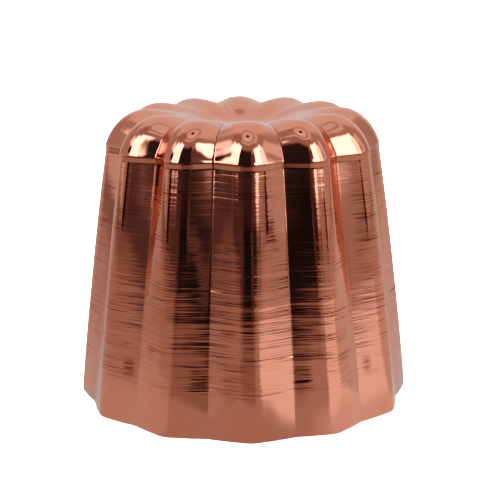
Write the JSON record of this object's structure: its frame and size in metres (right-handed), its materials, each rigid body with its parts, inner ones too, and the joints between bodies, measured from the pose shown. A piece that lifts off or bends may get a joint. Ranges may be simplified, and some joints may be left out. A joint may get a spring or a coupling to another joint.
{
  "type": "canele mould",
  "caption": "Fluted copper baking mould with a tapered wall of rounded lobes, a closed end rounded at the shoulder with a shallow dish, and an open mouth.",
  "frame": {"origin": "centre of the mouth, on the plane of the rim the mould stands on", "axes": "+Z along the mould's axis, from the open mouth up to the closed end; a lobe's crest lies along -Y"},
  "size_m": [0.055, 0.055, 0.0476],
  "materials": {
    "copper": "polished"
  },
  "bodies": {
    "root": {"mould_shell": "copper"}
  },
  "joints": []
}
